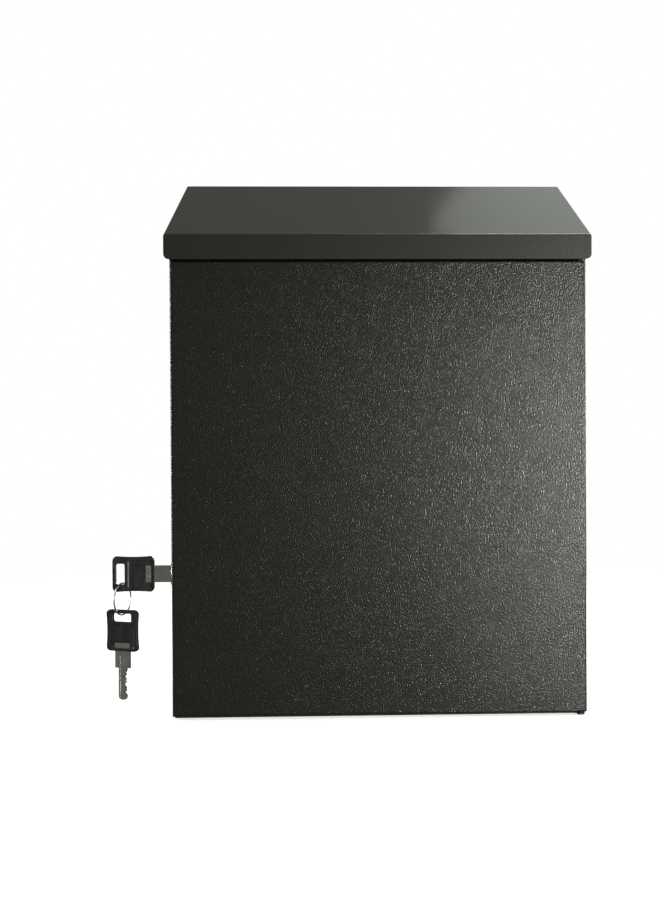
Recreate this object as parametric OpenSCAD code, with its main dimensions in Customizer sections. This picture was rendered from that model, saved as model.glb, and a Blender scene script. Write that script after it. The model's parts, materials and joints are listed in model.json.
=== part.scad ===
// Wall-mounted parcel drop box folded from sheet steel. Millimetres, +Z up, +X right, +Y to the wall.
// The origin is on the floor plane, under the middle of the box.

/* [Box] */
// Width of the lid, the widest piece
lid_w = 300; // [280:1:360]
// Depth from the lid's front lip to the wall
box_d = 150; // [150:1:180]
// Height of the back panel, the tallest piece
box_h = 400; // [396:1:410]
// Height of the lid's front edge above the floor
front_h = 340; // [336:0.5:344]
// Thickness of the folded sheet
sheet = 1.2; // [1:0.1:1.4]
// Outer radius of the folds
fold_r = 2; // [1.8:0.1:2.2]

/* [Lid] */
// Height of the lid's front and side lips
lip_h = 17.5; // [16:0.5:17.5]
// Radius of the front lip's lower corners
lip_corner_r = 3.5; // [1:0.5:5]
// How far each side lip hangs outside the casing, outer face to outer face
lip_overhang = 3.5; // [3:0.5:5]
// Number of hinge knuckles, half of them on the lid
knuckles = 14; // [6:2:20]

/* [Door] */
// Gap under and over the front door
door_gap = 0.5; // [0.4:0.1:0.6]
// Depth of the door's folded edges
door_fold = 12; // [10:0.5:12]
// Gap between the door's folded edges and the side sheets behind them
side_gap = 0.8; // [0.8:0.1:1.2]

/* [Chute] */
// Drop of the sloping chute plate from front to back
chute_drop = 63; // [55:1:65]
// Length of the flap from its pin to its free edge
flap_len = 59.5; // [57:0.5:60]

/* [Lock] */
// Height of the lock's axis above the floor
lock_z = 100; // [98:1:220]
// Radius of the lock's round flange
flange_r = 11; // [10.5:0.5:12]
// Radius of the cam's tip
cam_r = 22.5; // [21:0.5:23]
// Radius of the cam's hook, where it meets the striker pin
hook_r = 17; // [16.5:0.5:17]

/* [Keys] */
// Length of a key's moulded bow
bow_l = 30; // [28:0.5:32]
// Width of a key's moulded bow
bow_w = 26; // [24:0.5:28]
// Length of a key's narrow, cut blade
blade_l = 23; // [18:0.5:23]
// Radius of the key ring's wire centreline
ring_r = 11.4; // [11:0.1:12]

/* [Hidden] */
$fn = 48;
arc_steps = 6;
past = 1;                                   // how far a cutting shape runs past a face

// Planes of the box
wall_y = box_d / 2;
lip_y = -box_d / 2;
back_y = wall_y - sheet;
door_y = lip_y + 3;
side_x = lid_w / 2 - lip_overhang;
inner_x = side_x - sheet;
lid_over_back = 1.7;                        // the lid's plane, carried on to the wall, over the back panel
slope = atan((box_h + lid_over_back - front_h) / box_d);
lip_z = front_h - lip_h;

// Lid and its piano hinge
lid_end_y = back_y - 4.4;
seat_depth = 3.2;                           // lid's top face down to the side sheets' folded edge
knuckle_r = 2.5;
hinge_pin_r = 1.25;
hinge_bore_r = 1.3;
leaf_t = 1;
hinge_depth = sheet + knuckle_r + 0.3;      // lid's top face down to the hinge axis
hinge_y = wall_y - 6.8;
hinge_s = (hinge_y - lip_y - hinge_depth * sin(slope)) / cos(slope);
hinge_z = front_h + hinge_s * sin(slope) - hinge_depth * cos(slope);
leaf_half = 140;
rivet_xs = [-120, -60, 0, 60, 120];
rivet_r = 1.6;

// Door, as wide as the casing, with its pivots and its stops
door_x = side_x;
door_low = sheet + door_gap;
door_top = lip_z - 0.6;
door_back = door_y + door_fold;
side_front = door_back + side_gap;
pivot_x = door_x - 4.4;
pivot_y = door_y + 2.8;
pivot_r = 1.5;
pivot_bore_r = 1.55;
tab_r = 2.6;                                // rounded tab of the bottom tray that holds the lower pivot
stop_y = door_back + 2.4;
rail_z = door_top + door_gap;
rail_top = front_h - 4.5;

// Chute and flap
chute_y = 10;
flap_y = wall_y - 8;
flap_z = rail_top - chute_drop - 9;
flap_knuckle_r = 3;
flap_pin_r = 1.5;
flap_half = 136;
flap_neck = 104;
ear_x = 118;
ear_t = 2;

// Wall bolts
bolt_x = 100;
bolt_zs = [60, 340];
bolt_r = 3.5;

// Lock, placed in the left side sheet
lock_y = -45;
barrel_r = 9.3;
barrel_end = -side_x + 21;
plug_r = 6;
plug_bore_r = 6.05;
plug_head_r = 7.5;
housing_face = -side_x - 2.5;
plug_face = housing_face - 0.8;
plug_end = barrel_end + 1;
cam_t = 2;
cam_bore = 7;
screw_r = 1.6;
striker_y = lock_y - hook_r;
striker_r = 2;
cheek_xs = [plug_end - 4, plug_end + 4.8];
cheek_t = 1.2;

// Keys: each is drawn along +X with its ring slot centred on the origin
slot_l = 15;
slot_w = 6;
slot_from_end = 5.7;
bow_t = 2.8;
panel_sink = 0.4;
shank_l = 12;
shank_w = 12;
blade_w = 6.4;
blade_t = 2;
shoulder_x = bow_l - slot_from_end + shank_l;
cut_depths = [0.9, 1.7, 1.2, 2.0, 0.8, 1.5];
key_x = plug_face - 0.2 - shoulder_x;
ring_wire_r = 0.6;
ring_yaw = 22;
ring_x = key_x + 1.25;
ring_pivot_z = lock_z - (slot_l + bow_w) / 4;
ring_z = ring_pivot_z - ring_r + 3.7;
spare_z = ring_z - ring_r - 2;

// Sheet colours
charcoal = [0.22, 0.22, 0.2];
zinc = [0.72, 0.73, 0.74];
nickel = [0.8, 0.79, 0.75];
black = [0.06, 0.06, 0.06];

// ---- Outlines -------------------------------------------------------------------------------

function unit(v) = v / norm(v);

// Corner p of an outline between a and b, rounded to radius r
function corner(a, p, b, r) =
    let (u = unit(a - p), w = unit(b - p),
        half = acos(u * w) / 2,
        centre = p + unit(u + w) * r / sin(half),
        start = p + u * r / tan(half) - centre,
        turn = sign(cross(p - a, b - p)) * (180 - 2 * half))
    [for (i = [0 : arc_steps])
        let (t = turn * i / arc_steps)
        centre + [start.x * cos(t) - start.y * sin(t), start.x * sin(t) + start.y * cos(t)]];

// Closed outline from [x, y, radius] corners; a radius of 0 stays sharp
function rounded(list) =
    [for (i = [0 : len(list) - 1])
        let (p = list[i], a = list[(i + len(list) - 1) % len(list)], b = list[(i + 1) % len(list)])
        each p.z == 0 ? [[p.x, p.y]]
            : corner([a.x, a.y], [p.x, p.y], [b.x, b.y], p.z)];

// Rectangle with one radius at its low corners and another at its high ones
function rounded_box(low, high, low_r, high_r) =
    rounded([[low.x, low.y, low_r], [high.x, low.y, low_r], [high.x, high.y, high_r], [low.x, high.y, high_r]]);

// Left-hand normal of the step from a to b
function left_of(a, b) = [a.y - b.y, b.x - a.x] / norm(b - a);

// Path moved by t to its left
function moved_left(path, t) =
    let (last = len(path) - 1)
    [for (i = [0 : last])
        let (m = left_of(path[max(i - 1, 0)], path[max(i, 1)]),
            n = left_of(path[min(i, last - 1)], path[min(i + 1, last)]))
        path[i] + (m + n) * t / (1 + m * n)];

// Open path with rounded folds, those to the left of radius r_left and to the right of radius r_right
function folded(path, r_left, r_right) =
    let (last = len(path) - 1)
    [for (i = [0 : last])
        each i == 0 || i == last ? [path[i]]
            : let (turn = cross(path[i] - path[i - 1], path[i + 1] - path[i]))
            corner(path[i - 1], path[i], path[i + 1], turn > 0 ? r_left : r_right)];

// Outline of a folded sheet of thickness t whose right-hand face follows path
function folded_sheet(path, t = sheet) =
    let (other = folded(moved_left(path, t), fold_r - t, fold_r))
    concat(folded(path, fold_r, fold_r - t), [for (i = [len(other) - 1 : -1 : 0]) other[i]]);

// ---- Placing --------------------------------------------------------------------------------

// Extrude a (Y, Z) outline from x = low to x = high
module along_x(low, high) {
    translate([low, 0, 0]) rotate([90, 0, 90]) linear_extrude(high - low) children();
}

// Extrude an (X, Z) outline from y = low to y = high
module along_y(low, high) {
    translate([0, high, 0]) rotate([90, 0, 0]) linear_extrude(high - low) children();
}

// Extrude an (X, Y) outline from z = low to z = high
module along_z(low, high) {
    translate([0, 0, low]) linear_extrude(high - low) children();
}

// Block between two corners
module block(low, high) {
    translate(low) cube(high - low);
}

// Round bar along X
module rod_x(low, high, y, z, r) {
    translate([low, y, z]) rotate([0, 90, 0]) cylinder(h = high - low, r = r);
}

// Round bar along Z
module rod_z(low, high, x, y, r) {
    translate([x, y, low]) cylinder(h = high - low, r = r);
}

// Frame of the lid's top face: Y runs up the slope from the front edge, -Z goes down into the box
module on_lid_plane() {
    translate([0, lip_y, front_h]) rotate([slope, 0, 0]) children();
}

// Frame of the lock: +Z runs along the lock's axis into the box
module on_lock() {
    translate([0, lock_y, lock_z]) rotate([0, 90, 0]) children();
}

// ---- Casing ---------------------------------------------------------------------------------

module back_panel() {
    color(charcoal) difference() {
        along_z(0, box_h) polygon(folded_sheet([[inner_x, wall_y - 15], [inner_x, wall_y],
            [-inner_x, wall_y], [-inner_x, wall_y - 15]]));
        block([-inner_x - past, wall_y - 16, box_h - 16], [inner_x + past, back_y, box_h + past]);
        for (x = [-bolt_x, bolt_x], z = bolt_zs)
            translate([x, back_y - past, z]) rotate([-90, 0, 0]) cylinder(h = sheet + 2 * past, r = bolt_r);
        for (x = rivet_xs)
            translate([x, back_y - past, hinge_z - 14]) rotate([-90, 0, 0])
                cylinder(h = sheet + 2 * past, r = rivet_r);
    }
}

// Right-hand side sheet, which comes forward over the door; the left one is its mirror image
module side_sheet() {
    top = front_h - (seat_depth + fold_r) / cos(slope);
    step_y = hinge_y - 6;
    along_x(inner_x, side_x) polygon([[side_front, 0], [wall_y, 0], [wall_y, hinge_z - 6], [step_y, hinge_z - 6],
        [step_y, top + (step_y - lip_y) * tan(slope)], [door_y, top + (door_y - lip_y) * tan(slope)],
        [door_y, rail_z], [side_front, rail_z]]);
    on_lid_plane() along_y(8, 138) polygon(folded_sheet([[side_x, -20], [side_x, -seat_depth],
        [side_x - 12, -seat_depth]]));
}

module right_side() {
    color(charcoal) side_sheet();
}

module left_side() {
    color(charcoal) difference() {
        mirror([1, 0, 0]) side_sheet();
        rod_x(-side_x - past, -inner_x + past, lock_y, lock_z, barrel_r + 0.2);
    }
}

module bottom_tray() {
    color(charcoal) difference() {
        union() {
            along_y(-56, 59) polygon(folded_sheet([[-inner_x, 12], [-inner_x, 0], [inner_x, 0], [inner_x, 12]]));
            block([-inner_x, -66, 0], [inner_x, -56, sheet]);
            block([pivot_x - tab_r, pivot_y, 0], [inner_x, -65, sheet]);
            rod_z(0, sheet, pivot_x, pivot_y, tab_r);
            block([-inner_x + sheet, 59, 0], [inner_x - sheet, back_y, sheet]);
        }
        rod_z(-past, sheet + past, pivot_x, pivot_y, pivot_r);
        for (x = [-110, 110], y = [-30, 45])
            rod_z(-past, sheet + past, x, y, 3);
    }
}

module bottom_stop_rail() {
    color(charcoal) along_x(-inner_x + 5, pivot_x - 12)
        polygon(folded_sheet([[stop_y, 14], [stop_y, sheet], [stop_y + 12, sheet]]));
}

module front_rail() {
    color(charcoal) difference() {
        along_x(-inner_x, inner_x) polygon(folded_sheet([[door_y, rail_top], [door_y, rail_z],
            [stop_y, rail_z], [stop_y, rail_z - 15]]));
        rod_z(rail_z - past, rail_z + sheet + past, pivot_x, pivot_y, pivot_r);
    }
}

module chute_plate() {
    foot = rail_top - chute_drop;
    color(charcoal) along_x(-inner_x, inner_x) polygon(folded_sheet([[chute_y, foot - 5],
        [chute_y, foot], [door_y + sheet, rail_top], [door_y + sheet, rail_top - 11]]));
}

// Rubber channel on the front rail's top edge
module lid_seal() {
    color(black) difference() {
        along_x(-inner_x + 1, inner_x - 1)
            polygon(rounded_box([door_y - 1, rail_top - 2], [door_y + 2 * sheet + 1, rail_top + 3.6], 0, 1.2));
        block([-inner_x, door_y, rail_top - 3], [inner_x, door_y + 2 * sheet, rail_top]);
    }
}

// Rubber buttons on the side sheets' folded edges, which the lid comes down on
module lid_bumpers() {
    color(black) on_lid_plane()
        for (x = [-side_x + 7, side_x - 7], s = [25, 115])
            rod_z(-seat_depth, -sheet - 0.4, x, s, 3.5);
}

// Rubber pads on the front rail, behind the door's top fold
module door_bumpers() {
    color(black)
        for (x = [-100, 0, 90])
            block([x - 8, stop_y - 1.8, rail_z - 7], [x + 8, stop_y, rail_z - 0.6]);
}

module door_pivot_pins() {
    color(zinc) {
        rod_z(0, door_low + sheet + 4, pivot_x, pivot_y, pivot_r);
        rod_z(door_top - sheet - 4, rail_z + sheet, pivot_x, pivot_y, pivot_r);
    }
}

module flap_ear() {
    difference() {
        union() {
            rod_x(ear_x, ear_x + ear_t, flap_y, flap_z, 5);
            block([ear_x, flap_y, flap_z - 5], [ear_x + ear_t, back_y, flap_z + 5]);
            block([ear_x, back_y - sheet, flap_z - 8], [ear_x + 12, back_y, flap_z + 8]);
        }
        rod_x(ear_x - past, ear_x + ear_t + past, flap_y, flap_z, flap_pin_r);
    }
}

module flap_brackets() {
    color(zinc) {
        flap_ear();
        mirror([1, 0, 0]) flap_ear();
    }
}

module flap_pin() {
    color(zinc) {
        end = ear_x + ear_t;
        rod_x(-end - 1.5, end + 1.5, flap_y, flap_z, flap_pin_r);
        rod_x(end, end + 1.5, flap_y, flap_z, 2.6);
        rod_x(-end - 1.5, -end, flap_y, flap_z, 2.6);
    }
}

module flap_springs() {
    color(zinc)
        for (x = [-ear_x + 1.5, flap_neck + 1.5])
            difference() {
                rod_x(x, x + 11, flap_y, flap_z, 3.3);
                rod_x(x - past, x + 11 + past, flap_y, flap_z, 1.9);
            }
}

// ---- Lid hinge ------------------------------------------------------------------------------

knuckle_l = 2 * leaf_half / knuckles;

// Knuckles of one leaf: first is 0 or 1, and every second place is taken
module hinge_knuckles(first) {
    for (i = [first : 2 : knuckles - 1])
        rod_x(-leaf_half + i * knuckle_l + 0.15, -leaf_half + (i + 1) * knuckle_l - 0.15,
            hinge_y, hinge_z, knuckle_r);
}

module hinge_body_leaf() {
    color(zinc) difference() {
        union() {
            hinge_knuckles(0);
            for (i = [0 : 2 : knuckles - 1])
                block([-leaf_half + i * knuckle_l + 0.15, hinge_y, hinge_z - knuckle_r],
                    [-leaf_half + (i + 1) * knuckle_l - 0.15, back_y, hinge_z - knuckle_r + leaf_t]);
            block([-leaf_half, back_y - leaf_t, hinge_z - 22], [leaf_half, back_y, hinge_z - knuckle_r + leaf_t]);
        }
        rod_x(-leaf_half - past, leaf_half + past, hinge_y, hinge_z, hinge_bore_r);
        for (x = rivet_xs)
            translate([x, back_y - leaf_t - past, hinge_z - 14]) rotate([-90, 0, 0])
                cylinder(h = leaf_t + 2 * past, r = rivet_r);
    }
}

module hinge_pin() {
    color(zinc) rod_x(-leaf_half - 0.5, leaf_half + 0.5, hinge_y, hinge_z, hinge_pin_r);
}

module hinge_rivets() {
    color(zinc)
        for (x = rivet_xs)
            translate([x, 0, hinge_z - 14]) rotate([-90, 0, 0]) {
                translate([0, 0, back_y - leaf_t]) cylinder(h = leaf_t + sheet, r = rivet_r);
                translate([0, 0, back_y - leaf_t - 1]) cylinder(h = 1, r1 = 2, r2 = 3);
            }
}

module hinge_lid_leaf() {
    color(zinc) difference() {
        union() {
            hinge_knuckles(1);
            on_lid_plane() {
                block([-leaf_half, hinge_s - 22, -sheet - leaf_t], [leaf_half, hinge_s - 3.2, -sheet]);
                for (i = [1 : 2 : knuckles - 1])
                    block([-leaf_half + i * knuckle_l + 1, hinge_s - 4, -sheet - leaf_t],
                        [-leaf_half + (i + 1) * knuckle_l - 1, hinge_s - 0.8, -sheet]);
            }
        }
        rod_x(-leaf_half - past, leaf_half + past, hinge_y, hinge_z, hinge_bore_r);
    }
}

// ---- Lid ------------------------------------------------------------------------------------

// Solid under the lid's top face, inset by t, with its top edges rounded to radius r
module lid_block(t, r) {
    x = lid_w / 2 - t;
    low = lip_z - front_h;
    run = (lid_end_y - lip_y + 2) / cos(slope);
    intersection() {
        along_x(-x, x) polygon(rounded([[lip_y + t, lip_z, 0], [lid_end_y, lip_z + (lid_end_y - lip_y) * tan(slope), 0],
            [lid_end_y, front_h - t / cos(slope) + (lid_end_y - lip_y) * tan(slope), 0],
            [lip_y + t, front_h - t / cos(slope) + t * tan(slope), r]]));
        on_lid_plane() along_y(-10, run) polygon(rounded_box([-x, 2 * low], [x, -t], 0, r));
    }
}

module lid_shell() {
    color(charcoal) difference() {
        intersection() {
            lid_block(0, fold_r - 0.5);
            along_y(lip_y, wall_y)
                polygon(rounded_box([-lid_w / 2, lip_z], [lid_w / 2, box_h], lip_corner_r, 0));
        }
        intersection() {
            lid_block(sheet, 0.3);
            block([-lid_w, lip_y, 0], [lid_w, wall_y, 2 * box_h]);
        }
    }
}

// ---- Door -----------------------------------------------------------------------------------

// Solid between the door's front face and y = end, inset by t, with its front edges rounded to radius r
module door_block(t, r, end) {
    x = door_x - t;
    intersection() {
        along_z(door_low + t, door_top - t) polygon(rounded_box([-x, door_y + t], [x, end], r, 0));
        along_x(-x, x) polygon(rounded([[door_y + t, door_low + t, r], [end, door_low + t, 0],
            [end, door_top - t, 0], [door_y + t, door_top - t, r]]));
    }
}

module door_panel() {
    color(charcoal) difference() {
        door_block(0, fold_r, door_back);
        door_block(sheet, fold_r - sheet, door_back + past);
        rod_z(door_low - past, door_top + past, pivot_x, pivot_y, pivot_bore_r);
    }
}

// Hat-section rib down the middle of the door's inner face
module door_stiffener() {
    y = door_y + sheet;
    color(charcoal) along_z(25, door_top - 25) polygon(folded_sheet([[30, y + sheet], [18, y + sheet],
        [14, y + 7], [-14, y + 7], [-18, y + sheet], [-30, y + sheet]]));
}

module striker_bracket() {
    y = door_y + sheet;
    z = lock_z;
    color(zinc) difference() {
        union() {
            for (x = cheek_xs) {
                block([x, y, z - 6], [x + cheek_t, striker_y, z + 6]);
                rod_x(x, x + cheek_t, striker_y, z, 4);
            }
            block([cheek_xs[0], y, z - 6], [cheek_xs[1] + cheek_t, y + cheek_t, z + 6]);
        }
        rod_x(cheek_xs[0] - past, cheek_xs[1] + cheek_t + past, striker_y, z, striker_r);
    }
}

module striker_pin() {
    color(zinc) rod_x(cheek_xs[0] - 0.5, cheek_xs[1] + cheek_t + 0.5, striker_y, lock_z, striker_r);
}

// ---- Deposit flap ---------------------------------------------------------------------------

module deposit_flap() {
    top = flap_z + flap_knuckle_r;
    edge = flap_y - flap_len;
    color(charcoal) difference() {
        union() {
            along_x(-flap_half, flap_half)
                polygon(folded_sheet([[edge, top - 9], [edge, top - sheet], [flap_y - 9, top - sheet]]));
            block([-flap_half, edge + 4, top - sheet], [flap_half, flap_y - 9, top]);
            block([-flap_neck, flap_y - 9.5, top - sheet], [flap_neck, flap_y, top]);
            rod_x(-flap_neck, flap_neck, flap_y, flap_z, flap_knuckle_r);
        }
        rod_x(-flap_neck - past, flap_neck + past, flap_y, flap_z, flap_pin_r + 0.05);
    }
}

// ---- Lock -----------------------------------------------------------------------------------

module lock_housing() {
    color(nickel) on_lock() rotate_extrude() polygon([[plug_bore_r, housing_face],
        [flange_r - 1, housing_face], [flange_r, housing_face + 1], [flange_r, -side_x],
        [barrel_r, -side_x], [barrel_r, barrel_end], [plug_bore_r, barrel_end]]);
}

module lock_washer() {
    color(zinc) difference() {
        rod_x(-inner_x, -inner_x + 0.8, lock_y, lock_z, 13);
        rod_x(-inner_x - past, -inner_x + 0.8 + past, lock_y, lock_z, barrel_r);
    }
}

module lock_nut() {
    color(zinc) difference() {
        translate([-inner_x + 0.8, lock_y, lock_z]) rotate([0, 90, 0])
            cylinder(h = 4, r = 12 / cos(30), $fn = 6);
        rod_x(-inner_x, -inner_x + 6, lock_y, lock_z, barrel_r);
    }
}

module lock_plug() {
    half = cam_bore / 2;
    color(nickel) difference() {
        union() {
            rod_x(plug_face, housing_face - 0.1, lock_y, lock_z, plug_head_r);
            rod_x(plug_face, plug_end, lock_y, lock_z, plug_r);
            block([plug_end - past, lock_y - half, lock_z - half], [plug_end + cam_t, lock_y + half, lock_z + half]);
        }
        block([plug_face - past, lock_y - blade_t / 2 - 0.1, lock_z - blade_w / 2 - 0.1],
            [plug_face + blade_l + 0.4, lock_y + blade_t / 2 + 0.1, lock_z + blade_w / 2 + 0.1]);
        rod_x(plug_end - 1, plug_end + cam_t + past, lock_y, lock_z, screw_r);
    }
}

// Cam that points up when unlocked; its hook opens towards the door
module lock_cam() {
    half = cam_bore / 2;
    spread = 24;
    color(zinc) difference() {
        union() {
            rod_x(plug_end, plug_end + cam_t, lock_y, lock_z, 8.5);
            intersection() {
                rod_x(plug_end, plug_end + cam_t, lock_y, lock_z, cam_r);
                translate([0, lock_y, lock_z]) along_x(plug_end, plug_end + cam_t)
                    polygon([[0, 0], [cam_r * 2 * sin(spread), cam_r * 2 * cos(spread)],
                        [-cam_r * 2 * sin(spread), cam_r * 2 * cos(spread)]]);
            }
        }
        block([plug_end - past, lock_y - half, lock_z - half],
            [plug_end + cam_t + past, lock_y + half, lock_z + half]);
        rod_x(plug_end - past, plug_end + cam_t + past, lock_y, lock_z + hook_r, striker_r + 0.5);
        translate([0, lock_y, lock_z]) intersection() {
            difference() {
                rod_x(plug_end - past, plug_end + cam_t + past, 0, 0, hook_r + striker_r + 0.5);
                rod_x(plug_end - 2 * past, plug_end + cam_t + 2 * past, 0, 0, hook_r - striker_r - 0.5);
            }
            along_x(plug_end - past, plug_end + cam_t + past)
                polygon([[0, 0], [0, 2 * cam_r], [-2 * cam_r, 2 * cam_r]]);
        }
    }
}

module cam_washer() {
    color(zinc) difference() {
        rod_x(plug_end + cam_t, plug_end + cam_t + 0.8, lock_y, lock_z, 6.5);
        rod_x(plug_end, plug_end + cam_t + 2, lock_y, lock_z, screw_r);
    }
}

module cam_screw() {
    face = plug_end + cam_t + 0.8;
    color(zinc) difference() {
        union() {
            rod_x(plug_end - 1, face + 0.5, lock_y, lock_z, screw_r);
            translate([face, lock_y, lock_z]) rotate([0, 90, 0]) cylinder(h = 2.4, r1 = 3.8, r2 = 2.8);
        }
        block([face + 1.4, lock_y - 2.2, lock_z - 0.45], [face + 3, lock_y + 2.2, lock_z + 0.45]);
        block([face + 1.4, lock_y - 0.45, lock_z - 2.2], [face + 3, lock_y + 0.45, lock_z + 2.2]);
    }
}

// ---- Keys -----------------------------------------------------------------------------------

// Moulded bow with slightly hollow sides, a ring slot and a sunk panel on each face
module bow_shape() {
    low = -slot_from_end;
    high = bow_l - slot_from_end;
    waist_r = 130;
    difference() {
        along_y(-bow_t / 2, bow_t / 2)
            polygon(rounded_box([low, -bow_w / 2], [high, bow_w / 2], 3.5, 3.5));
        for (side = [-1, 1])
            translate([(low + high) / 2, bow_t, side * (bow_w / 2 + waist_r - 0.7)]) rotate([90, 0, 0])
                cylinder(h = 2 * bow_t, r = waist_r, $fn = 180);
        along_y(-bow_t, bow_t)
            polygon(rounded_box([-slot_w / 2, -slot_l / 2], [slot_w / 2, slot_l / 2], 1.2, 1.2));
        for (face = [-1, 1])
            along_y(face * bow_t / 2 - panel_sink, face * bow_t / 2 + panel_sink)
                polygon(rounded_box([slot_w / 2 + 2.6, 3 - bow_w / 2], [high - 2.4, bow_w / 2 - 3], 1.5, 1.5));
        block([high - 6, -blade_t / 2, -shank_w / 2], [high + past, blade_t / 2, shank_w / 2]);
    }
}

// Flat blade with a broad shank that ends 6 mm inside the bow
module blade_shape() {
    end = shoulder_x + blade_l;
    pitch = (blade_l - 6) / len(cut_depths);
    difference() {
        union() {
            block([shoulder_x - shank_l - 6, -blade_t / 2, -shank_w / 2], [shoulder_x, blade_t / 2, shank_w / 2]);
            along_y(-blade_t / 2, blade_t / 2)
                polygon(rounded([[shoulder_x - 1, -blade_w / 2, 0], [end, -blade_w / 2, 2.6],
                    [end, blade_w / 2, 2.6], [shoulder_x - 1, blade_w / 2, 0]]));
        }
        for (i = [0 : len(cut_depths) - 1])
            along_y(-blade_t, blade_t)
                let (x = shoulder_x + 3.5 + i * pitch, top = blade_w / 2, d = cut_depths[i])
                polygon([[x - 0.3, top - d], [x + 0.3, top - d], [x + 0.5 + d, top + 0.2], [x - 0.5 - d, top + 0.2]]);
        for (face = [-1, 1])
            block([shoulder_x - 8, face * blade_t / 2 - 0.4, -1.9], [end + past, face * blade_t / 2 + 0.4, -0.6]);
    }
}

module in_lock() {
    translate([key_x, lock_y, lock_z]) children();
}

module on_ring() {
    translate([ring_x, lock_y, spare_z]) rotate([0, 0, -ring_yaw]) rotate([0, 90, 0]) children();
}

module key_blade() {
    color(nickel) in_lock() blade_shape();
}

module key_bow() {
    color(black) in_lock() bow_shape();
}

module key_ring() {
    color(nickel) translate([ring_x, lock_y, ring_z]) rotate([0, 0, -ring_yaw]) rotate([0, 90, 0])
        rotate_extrude($fn = 96) translate([ring_r, 0]) circle(r = ring_wire_r, $fn = 24);
}

module spare_key_blade() {
    color(nickel) on_ring() blade_shape();
}

module spare_key_bow() {
    color(black) on_ring() bow_shape();
}

back_panel();
left_side();
right_side();
bottom_tray();
bottom_stop_rail();
front_rail();
chute_plate();
lid_seal();
lid_bumpers();
door_bumpers();
door_pivot_pins();
flap_brackets();
flap_pin();
flap_springs();
hinge_body_leaf();
hinge_pin();
hinge_rivets();
lid_shell();
hinge_lid_leaf();
door_panel();
door_stiffener();
striker_bracket();
striker_pin();
deposit_flap();
lock_housing();
lock_washer();
lock_nut();
lock_plug();
lock_cam();
cam_washer();
cam_screw();
key_blade();
key_bow();
key_ring();
spare_key_blade();
spare_key_bow();
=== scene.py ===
"""Parcel drop box: the looks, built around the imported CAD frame. Metres, +Z up, +Y to the wall."""
import json
import math

import bmesh
import bpy
from mathutils import Matrix, Vector


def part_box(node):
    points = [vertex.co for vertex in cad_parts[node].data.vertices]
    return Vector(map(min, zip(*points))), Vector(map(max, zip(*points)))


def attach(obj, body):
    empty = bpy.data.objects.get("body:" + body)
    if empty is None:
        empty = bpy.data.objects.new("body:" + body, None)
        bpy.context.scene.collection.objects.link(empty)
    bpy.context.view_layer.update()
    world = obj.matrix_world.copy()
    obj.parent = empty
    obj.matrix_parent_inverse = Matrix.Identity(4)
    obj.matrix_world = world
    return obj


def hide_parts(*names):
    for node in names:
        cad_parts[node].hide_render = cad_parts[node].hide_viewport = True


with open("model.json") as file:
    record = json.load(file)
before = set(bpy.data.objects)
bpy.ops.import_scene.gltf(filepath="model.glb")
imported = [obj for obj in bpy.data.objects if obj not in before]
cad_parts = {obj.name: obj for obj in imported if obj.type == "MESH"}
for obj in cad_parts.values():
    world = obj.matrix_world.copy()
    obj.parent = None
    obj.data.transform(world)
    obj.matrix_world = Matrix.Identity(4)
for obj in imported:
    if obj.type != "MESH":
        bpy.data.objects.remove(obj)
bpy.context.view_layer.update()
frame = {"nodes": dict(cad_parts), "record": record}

MM = 0.001
NODES = frame["nodes"]
SCENE = bpy.context.scene


# ---- Camera, light and floor ----------------------------------------------------------------

CAMERA_AT = Vector((-0.02496, -1.00643, 0.20263))
CAMERA_YAW = 2.028           # degrees to the right of +Y
CAMERA_PITCH = -0.859        # degrees above the horizon
CAMERA_ROLL = -0.309         # degrees
SENSOR = 36.0                # millimetres, along the frame's long side
CAMERA_LENS = 53.143         # millimetres
CAMERA_SHIFT_X = -0.0679     # of the frame's long side
NEAR_CLIP = 0.01


def make_camera():
    data = bpy.data.cameras.new("camera")
    data.sensor_fit = "AUTO"
    data.sensor_width = SENSOR
    data.lens = CAMERA_LENS
    data.shift_x = CAMERA_SHIFT_X
    data.clip_start = NEAR_CLIP
    camera = bpy.data.objects.new("camera", data)
    turn = (Matrix.Rotation(-math.radians(CAMERA_YAW), 4, "Z")
            @ Matrix.Rotation(math.radians(90 + CAMERA_PITCH), 4, "X")
            @ Matrix.Rotation(math.radians(CAMERA_ROLL), 4, "Z"))
    camera.matrix_world = Matrix.Translation(CAMERA_AT) @ turn
    SCENE.collection.objects.link(camera)
    SCENE.camera = camera


def area_light(name, at, target, width, height, watts, tint=(1.0, 1.0, 1.0), lean=0.0):
    """A softbox at one point that faces another, leaning by some degrees in its own plane."""
    data = bpy.data.lights.new(name, "AREA")
    data.shape = "RECTANGLE"
    data.size = width
    data.size_y = height
    data.energy = watts
    data.color = tint
    light = bpy.data.objects.new(name, data)
    facing = (Vector(target) - Vector(at)).to_track_quat("-Z", "Y").to_matrix()
    turn = facing @ Matrix.Rotation(math.radians(lean), 3, "Z")
    light.matrix_world = Matrix.Translation(at) @ turn.to_4x4()
    SCENE.collection.objects.link(light)


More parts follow.
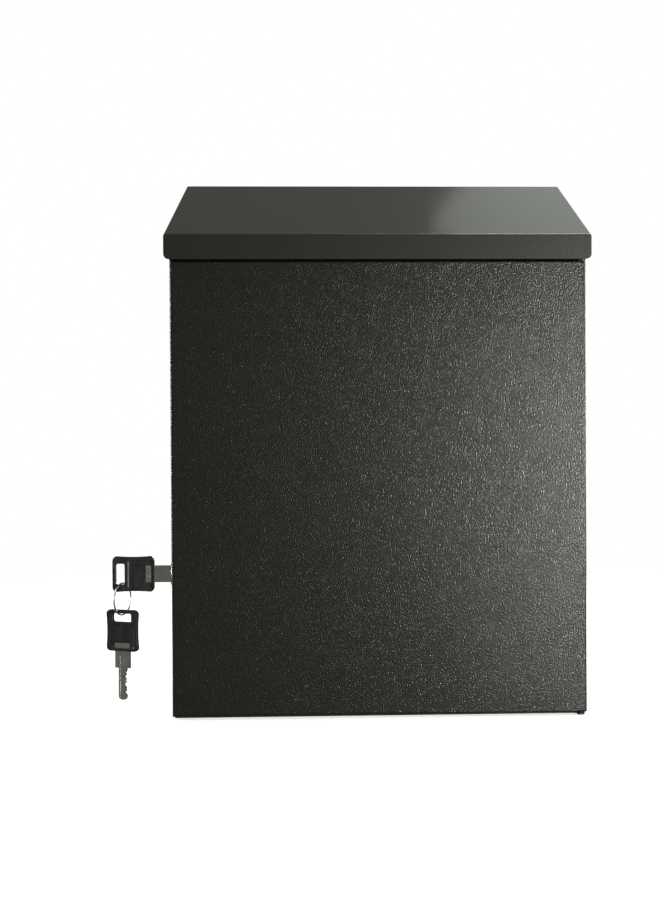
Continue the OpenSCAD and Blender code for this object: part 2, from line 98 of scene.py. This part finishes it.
def make_lights():
    """A small key at the front right that draws out the grain, a large faint one that the lid mirrors,
    one overhead for the lid's front bend, and a fill on each side that the key leaves dark."""
    middle = (0.0, 0.0, 0.2)
    area_light("key_right", (0.83, -1.5, 0.13), (0.0, 0.0, 0.15), 0.12, 0.24, 23.5, (1.0, 1.0, 0.94))
    area_light("lid_glow", (0.82, 1.25, 1.26), (0.05, 0.0, 0.37), 1.1, 1.0, 2.05, (0.92, 1.0, 0.93), -22)
    area_light("over_lid", (0.62, -0.1, 1.6), (0.62, -0.1, 0.0), 0.95, 0.4, 22, (0.97, 1.0, 0.96))
    area_light("fill_left", (-1.9, 0.5, 0.7), middle, 0.8, 1.2, 45)
    area_light("fill_right", (1.9, 0.35, 0.7), middle, 0.8, 1.2, 32)
    area_light("fill_back", (0.5, 2.0, 0.25), middle, 1.4, 0.5, 40)


ROOM_COLOR = (1.0, 1.0, 0.9, 1)
ROOM_STRENGTH = 0.12


def make_world():
    """White to the eye and a dim room as a light, as in a studio with a lit white sweep."""
    world = bpy.data.worlds.new("studio")
    world.use_nodes = True
    tree = world.node_tree
    tree.nodes.clear()
    out = tree.nodes.new("ShaderNodeOutputWorld")
    room = tree.nodes.new("ShaderNodeBackground")
    room.inputs["Color"].default_value = ROOM_COLOR
    room.inputs["Strength"].default_value = ROOM_STRENGTH
    white = tree.nodes.new("ShaderNodeBackground")
    white.inputs["Color"].default_value = (1, 1, 1, 1)
    white.inputs["Strength"].default_value = 1.0
    path = tree.nodes.new("ShaderNodeLightPath")
    mix = tree.nodes.new("ShaderNodeMixShader")
    tree.links.new(path.outputs["Is Camera Ray"], mix.inputs["Fac"])
    tree.links.new(room.outputs[0], mix.inputs[1])
    tree.links.new(white.outputs[0], mix.inputs[2])
    tree.links.new(mix.outputs[0], out.inputs["Surface"])
    SCENE.world = world
    SCENE.view_settings.view_transform = "Standard"


FLOOR_RADIUS = 2.5
FLOOR_DROP = 0.4 * MM        # below the box, so that the two never share a plane
FLOOR_FADE = (0.35, 1.0)     # metres from the middle, from opaque to clear
FLOOR_GREY = 0.6
FLOOR_GLOW = 0.72


def make_floor():
    """Pale floor that thins out to the white of the room. It is lit but lights nothing itself."""
    mesh = bpy.data.meshes.new("floor")
    b = bmesh.new()
    bmesh.ops.create_circle(b, cap_ends=True, radius=FLOOR_RADIUS, segments=96)
    b.to_mesh(mesh)
    b.free()
    floor = bpy.data.objects.new("floor", mesh)
    floor.location.z = -FLOOR_DROP
    SCENE.collection.objects.link(floor)
    material = bpy.data.materials.new("floor")
    material.use_nodes = True
    tree = material.node_tree
    shader = tree.nodes["Principled BSDF"]
    shader.inputs["Base Color"].default_value = (FLOOR_GREY, FLOOR_GREY, FLOOR_GREY, 1)
    shader.inputs["Roughness"].default_value = 0.7
    shader.inputs["Emission Color"].default_value = (1, 1, 1, 1)
    shader.inputs["Emission Strength"].default_value = FLOOR_GLOW
    coords = tree.nodes.new("ShaderNodeTexCoord")
    length = tree.nodes.new("ShaderNodeVectorMath")
    length.operation = "LENGTH"
    ramp = tree.nodes.new("ShaderNodeMapRange")
    ramp.interpolation_type = "SMOOTHSTEP"
    ramp.inputs["From Min"].default_value = FLOOR_FADE[0]
    ramp.inputs["From Max"].default_value = FLOOR_FADE[1]
    ramp.inputs["To Min"].default_value = 1.0
    ramp.inputs["To Max"].default_value = 0.0
    tree.links.new(coords.outputs["Object"], length.inputs[0])
    tree.links.new(length.outputs["Value"], ramp.inputs["Value"])
    tree.links.new(ramp.outputs["Result"], shader.inputs["Alpha"])
    mesh.materials.append(material)
    floor.visible_shadow = floor.visible_diffuse = floor.visible_glossy = False


# ---- Materials ------------------------------------------------------------------------------

class Shader:
    """A material under construction, with short calls for the nodes used here."""

    def __init__(self, name, color, roughness, metallic=0.0, **sockets):
        self.material = bpy.data.materials.new(name)
        self.material.use_nodes = True
        self.tree = self.material.node_tree
        self.surface = self.tree.nodes["Principled BSDF"]
        self.surface.inputs["Base Color"].default_value = (*color, 1)
        self.surface.inputs["Roughness"].default_value = roughness
        self.surface.inputs["Metallic"].default_value = metallic
        for socket, value in sockets.items():
            self.surface.inputs[socket.replace("_", " ")].default_value = value
        self.place = self.node("ShaderNodeTexCoord").outputs["Object"]
        self.bump_out = None

    def node(self, kind):
        return self.tree.nodes.new(kind)

    def link(self, out, into):
        self.tree.links.new(out, into)

    def noise(self, size, detail=2.0, roughness=0.5, stretch=None):
        """Noise whose features are about size metres across."""
        node = self.node("ShaderNodeTexNoise")
        node.inputs["Scale"].default_value = 1 / size
        node.inputs["Detail"].default_value = detail
        node.inputs["Roughness"].default_value = roughness
        self.link(self.stretched(stretch), node.inputs["Vector"])
        return node.outputs["Fac"]

    def cells(self, size):
        """Distance to the middle of the nearest cell, for cells about size metres across."""
        node = self.node("ShaderNodeTexVoronoi")
        node.inputs["Scale"].default_value = 1 / size
        self.link(self.place, node.inputs["Vector"])
        return node.outputs["Distance"]

    def stretched(self, stretch):
        if not stretch:
            return self.place
        node = self.node("ShaderNodeMapping")
        node.inputs["Scale"].default_value = stretch
        self.link(self.place, node.inputs["Vector"])
        return node.outputs["Vector"]

    def range(self, value, low, high, to_low, to_high):
        node = self.node("ShaderNodeMapRange")
        limits = {"From Min": low, "From Max": high, "To Min": to_low, "To Max": to_high}
        for name, number in limits.items():
            node.inputs[name].default_value = number
        self.link(value, node.inputs["Value"])
        return node.outputs["Result"]

    def colors(self, value, *stops):
        """Colour ramp of (position, colour) stops into the base colour."""
        node = self.node("ShaderNodeValToRGB")
        ramp = node.color_ramp
        while len(ramp.elements) < len(stops):
            ramp.elements.new(0.5)
        for element, (position, color) in zip(ramp.elements, stops):
            element.position = position
            element.color = (*color, 1)
        self.link(value, node.inputs["Fac"])
        self.link(node.outputs["Color"], self.surface.inputs["Base Color"])

    def bump(self, value, height):
        """Adds a bump of the given height in metres on top of those before it."""
        node = self.node("ShaderNodeBump")
        node.inputs["Strength"].default_value = 1.0
        node.inputs["Distance"].default_value = height
        self.link(value, node.inputs["Height"])
        if self.bump_out:
            self.link(self.bump_out, node.inputs["Normal"])
        self.bump_out = node.outputs["Normal"]
        self.link(self.bump_out, self.surface.inputs["Normal"])

    def rough(self, value):
        self.link(value, self.surface.inputs["Roughness"])


def powder_coat(name, roughness, grain_height, **gloss):
    """Charcoal textured powder coat: a fine leathery grain, a faint flow under it and stray nibs."""
    s = Shader(name, (0.01, 0.01, 0.0065), roughness, **gloss)
    nib, dark, light = (0.05, 0.05, 0.045), (0.0085, 0.0085, 0.0055), (0.0105, 0.0105, 0.007)
    s.colors(s.cells(22 * MM), (0.016, nib), (0.028, dark), (0.9, light))
    s.bump(s.noise(0.9 * MM, detail=0.5, roughness=0.5), grain_height)
    s.bump(s.noise(60 * MM, detail=2.0), 0.10 * MM)
    return s.material


def zinc(name, low, high):
    """Zinc plating: soft spangle with the rolling lines of the sheet under it."""
    s = Shader(name, high, 0.35, metallic=1.0)
    spangle = s.noise(4 * MM, detail=3.0, roughness=0.6)
    s.colors(spangle, (0.3, low), (0.7, high))
    s.rough(s.range(s.noise(1.5 * MM), 0.3, 0.7, 0.36, 0.54))
    s.bump(s.noise(0.4 * MM, stretch=(0.1, 1, 1)), 0.01 * MM)
    return s.material


def nickel():
    s = Shader("nickel", (0.7, 0.67, 0.62), 0.22, metallic=1.0)
    s.colors(s.noise(5 * MM), (0.3, (0.72, 0.70, 0.66)), (0.7, (0.84, 0.82, 0.78)))
    s.rough(s.range(s.noise(0.8 * MM, stretch=(0.08, 1, 1)), 0.3, 0.7, 0.16, 0.32))
    s.bump(s.noise(0.25 * MM, stretch=(0.06, 1, 1)), 0.006 * MM)
    return s.material


def black_plastic():
    """Moulded black: fine spark-eroded texture, rubbed smoother in patches."""
    s = Shader("black_plastic", (0.02, 0.02, 0.02), 0.45)
    s.colors(s.noise(6 * MM), (0.3, (0.014, 0.014, 0.016)), (0.7, (0.024, 0.024, 0.026)))
    s.bump(s.cells(0.35 * MM), 0.012 * MM)
    s.rough(s.range(s.noise(3 * MM), 0.3, 0.7, 0.3, 0.48))
    return s.material


def rubber():
    s = Shader("rubber", (0.016, 0.016, 0.016), 0.75)
    s.colors(s.noise(8 * MM), (0.3, (0.012, 0.012, 0.012)), (0.7, (0.024, 0.024, 0.025)))
    s.bump(s.noise(0.5 * MM, detail=3.0), 0.03 * MM)
    return s.material


COARSE = powder_coat("powder_coat", 0.295, 0.275 * MM)
FINE = powder_coat("powder_coat_fine", 0.38, 0.07 * MM, Coat_Weight=0.6, Coat_Roughness=0.1)
MATERIALS = {
    "powder_coat": COARSE,
    "zinc_steel": zinc("zinc_steel", (0.24, 0.245, 0.25), (0.36, 0.365, 0.37)),
    "nickel": nickel(),
    "black_plastic": black_plastic(),
    "rubber": rubber(),
}
# nodes whose finish differs from that of their slot
NODE_FINISH = {
    "lid_shell": FINE,
    # painted shade: the pivot pins are near-black so that where they show in the gap under the lid they
    # read as its dark shade, not as a zinc glint
    "door_pivot_pins": zinc("zinc_painted_gap_shade", (0.02, 0.02, 0.02), (0.04, 0.04, 0.04)),
}


def dress(piece, material):
    piece.data.materials.clear()
    piece.data.materials.append(material)


# ---- CAD nodes that stay --------------------------------------------------------------------

WELD_DISTANCE = 0.002 * MM
SHARP_FROM = math.radians(38)
VOXEL = 0.25 * MM
EDGE_WIDTHS = {"powder_coat": 0.35 * MM, "zinc_steel": 0.18 * MM, "nickel": 0.18 * MM,
               "black_plastic": 0.45 * MM, "rubber": 0.4 * MM}


def soften(piece, width):
    """Welds the imported mesh and breaks its sharp edges, as folding, plating and paint do."""
    weld = piece.modifiers.new("weld", "WELD")
    weld.merge_threshold = WELD_DISTANCE
    bevel = piece.modifiers.new("edges", "BEVEL")
    bevel.width = width
    bevel.segments = 2
    bevel.limit_method = "ANGLE"
    bevel.angle_limit = SHARP_FROM
    bevel.use_clamp_overlap = True
    normals = piece.modifiers.new("normals", "WEIGHTED_NORMAL")
    normals.weight = 60
    normals.keep_sharp = False


def mould(piece):
    """Melts every edge round, as on a thick plastic moulding."""
    remesh = piece.modifiers.new("skin", "REMESH")
    remesh.mode = "VOXEL"
    remesh.voxel_size = VOXEL
    remesh.use_smooth_shade = True
    smooth = piece.modifiers.new("melt", "SMOOTH")
    smooth.factor = 0.5
    smooth.iterations = 8


def finish_cad_nodes():
    slots = {part["node"]: part["material_slot"] for part in frame["record"]["subparts"]}
    for name, piece in NODES.items():
        slot = slots[name]
        dress(piece, NODE_FINISH.get(name, MATERIALS[slot]))
        for face in piece.data.polygons:
            face.use_smooth = True
        if slot == "black_plastic":
            mould(piece)
        else:
            soften(piece, EDGE_WIDTHS[slot])


# ---- Wound wire -----------------------------------------------------------------------------

def oval(half_out, half_along, sides=12):
    """A wire's section, as (outward, along) offsets from its centreline."""
    return [(half_out * math.cos(math.tau * k / sides), half_along * math.sin(math.tau * k / sides))
            for k in range(sides)]


def wound(name, place, section, turns, radius, along_at, first_angle=0.0, steps_per_turn=40):
    """Wire wound round the local Z axis. along_at gives its height at each turn."""
    steps = round(turns * steps_per_turn)
    rings = []
    b = bmesh.new()
    for i in range(steps + 1):
        turn = turns * i / steps
        angle = first_angle + math.tau * turn
        out = Vector((math.cos(angle), math.sin(angle), 0))
        rise = Vector((0, 0, along_at(turn)))
        rings.append([out * (radius + u) + rise + Vector((0, 0, v)) for u, v in section])
    rings = [[b.verts.new(corner) for corner in ring] for ring in rings]
    for low, high in zip(rings, rings[1:]):
        for k in range(len(section)):
            n = (k + 1) % len(section)
            b.faces.new((low[k], low[n], high[n], high[k]))
    b.faces.new(reversed(rings[0]))
    b.faces.new(rings[-1])
    bmesh.ops.recalc_face_normals(b, faces=b.faces)
    mesh = bpy.data.meshes.new(name)
    b.to_mesh(mesh)
    b.free()
    mesh.transform(place)
    for face in mesh.polygons:
        face.use_smooth = len(face.vertices) == 4
    wire = bpy.data.objects.new(name, mesh)
    SCENE.collection.objects.link(wire)
    return wire


SPRING_WIRE = 0.65 * MM      # half the wire's thickness
SPRING_TURNS = 8
SPRING_LENGTH = 11 * MM


def make_springs():
    """The flap's two torsion springs, closely wound on its pin."""
    low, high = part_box("flap_springs")
    axis_y, axis_z = (low[1] + high[1]) / 2, (low[2] + high[2]) / 2
    coil_radius = (high[2] - low[2]) / 2 - SPRING_WIRE
    pitch = (SPRING_LENGTH - 2 * SPRING_WIRE) / SPRING_TURNS
    for side, name in ((-1, "left"), (1, "right")):
        start = Vector((low[0] if side < 0 else high[0], axis_y, axis_z))
        # local Z runs from the bracket towards the middle, and local X to the wall
        into_box = Vector((-side, 0, 0))
        to_wall = Vector((0, 1, 0))
        turn = Matrix((to_wall, into_box.cross(to_wall), into_box)).transposed().to_4x4()
        place = Matrix.Translation(start) @ turn
        spring = wound("flap_spring_" + name, place, oval(SPRING_WIRE, SPRING_WIRE),
                       SPRING_TURNS, coil_radius, lambda t: SPRING_WIRE + pitch * t)
        dress(spring, MATERIALS["zinc_steel"])
        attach(spring, "case")
    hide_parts("flap_springs")


RING_WIRE = 0.6 * MM         # half the thickness of the CAD's ring
RING_YAW = 22                # degrees, as in the CAD
RING_END = math.radians(75)  # where the wire's first end lies
RING_TURNS = 1.96
RING_SECTION = (0.5 * MM, 0.27 * MM)
RING_STEP = 0.29 * MM        # from the middle of the ring to each turn
RING_STEP_SHARPNESS = 14


def make_key_ring():
    """Split ring of two flat turns, stepping from one to the other near its top."""
    low, high = (Vector(corner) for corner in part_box("key_ring"))
    middle = (low + high) / 2
    radius = (high.z - low.z) / 2 - RING_WIRE
    place = (Matrix.Translation(middle) @ Matrix.Rotation(-math.radians(RING_YAW), 4, "Z")
             @ Matrix.Rotation(math.radians(90), 4, "Y"))

    def along(turn):
        return RING_STEP * math.tanh((turn - 1) * RING_STEP_SHARPNESS)

    ring = wound("key_ring_split", place, oval(*RING_SECTION, 16), RING_TURNS, radius, along,
                 RING_END, steps_per_turn=96)
    dress(ring, MATERIALS["nickel"])
    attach(ring, "ring")
    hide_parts("key_ring")


make_camera()
make_lights()
make_world()
make_floor()
finish_cad_nodes()
make_springs()
make_key_ring()
